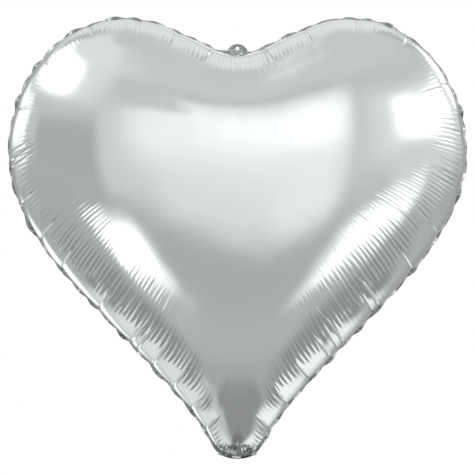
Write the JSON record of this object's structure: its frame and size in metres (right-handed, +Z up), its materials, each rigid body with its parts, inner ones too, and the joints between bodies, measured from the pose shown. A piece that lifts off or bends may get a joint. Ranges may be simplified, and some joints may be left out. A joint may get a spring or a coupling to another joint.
{
  "type": "heart-shaped foil balloon",
  "caption": "Inflated heart-shaped foil balloon with a welded flange, a punched hang tab at the notch and a folded neck with a self-sealing valve at the tip.",
  "frame": {"origin": "centre of the hanging hole, in the seam plane over the notch of the heart", "axes": "+Z up, from the tip to the lobes; the front panel faces -Y; X runs across the heart"},
  "size_m": [0.602, 0.2502, 0.576],
  "materials": {
    "silver_foil": "mirror-bright vacuum-metallised film",
    "foil_weld": "bright, crimped by the heat seal",
    "valve_film": "clear, soft polyethylene",
    "coat_ink": "matt printed coat"
  },
  "bodies": {
    "balloon": {"front_panel": "silver_foil", "back_panel": "silver_foil", "edge_weld": "foil_weld", "hang_tab": "foil_weld", "valve_front_film": "valve_film", "valve_back_film": "valve_film", "valve_side_welds": "valve_film", "valve_anchor_welds": "foil_weld", "valve_release_coat": "coat_ink"},
    "neck": {"neck_outer_ply": "silver_foil", "neck_inner_ply": "silver_foil", "neck_side_welds": "foil_weld"}
  },
  "joints": [
    {"name": "neck_fold", "type": "hinge", "parent": "balloon", "child": "neck", "pos_m": [0, 0.00101, -0.53118], "axis": [-1, 0, 0], "range_deg": [0, 110]}
  ]
}
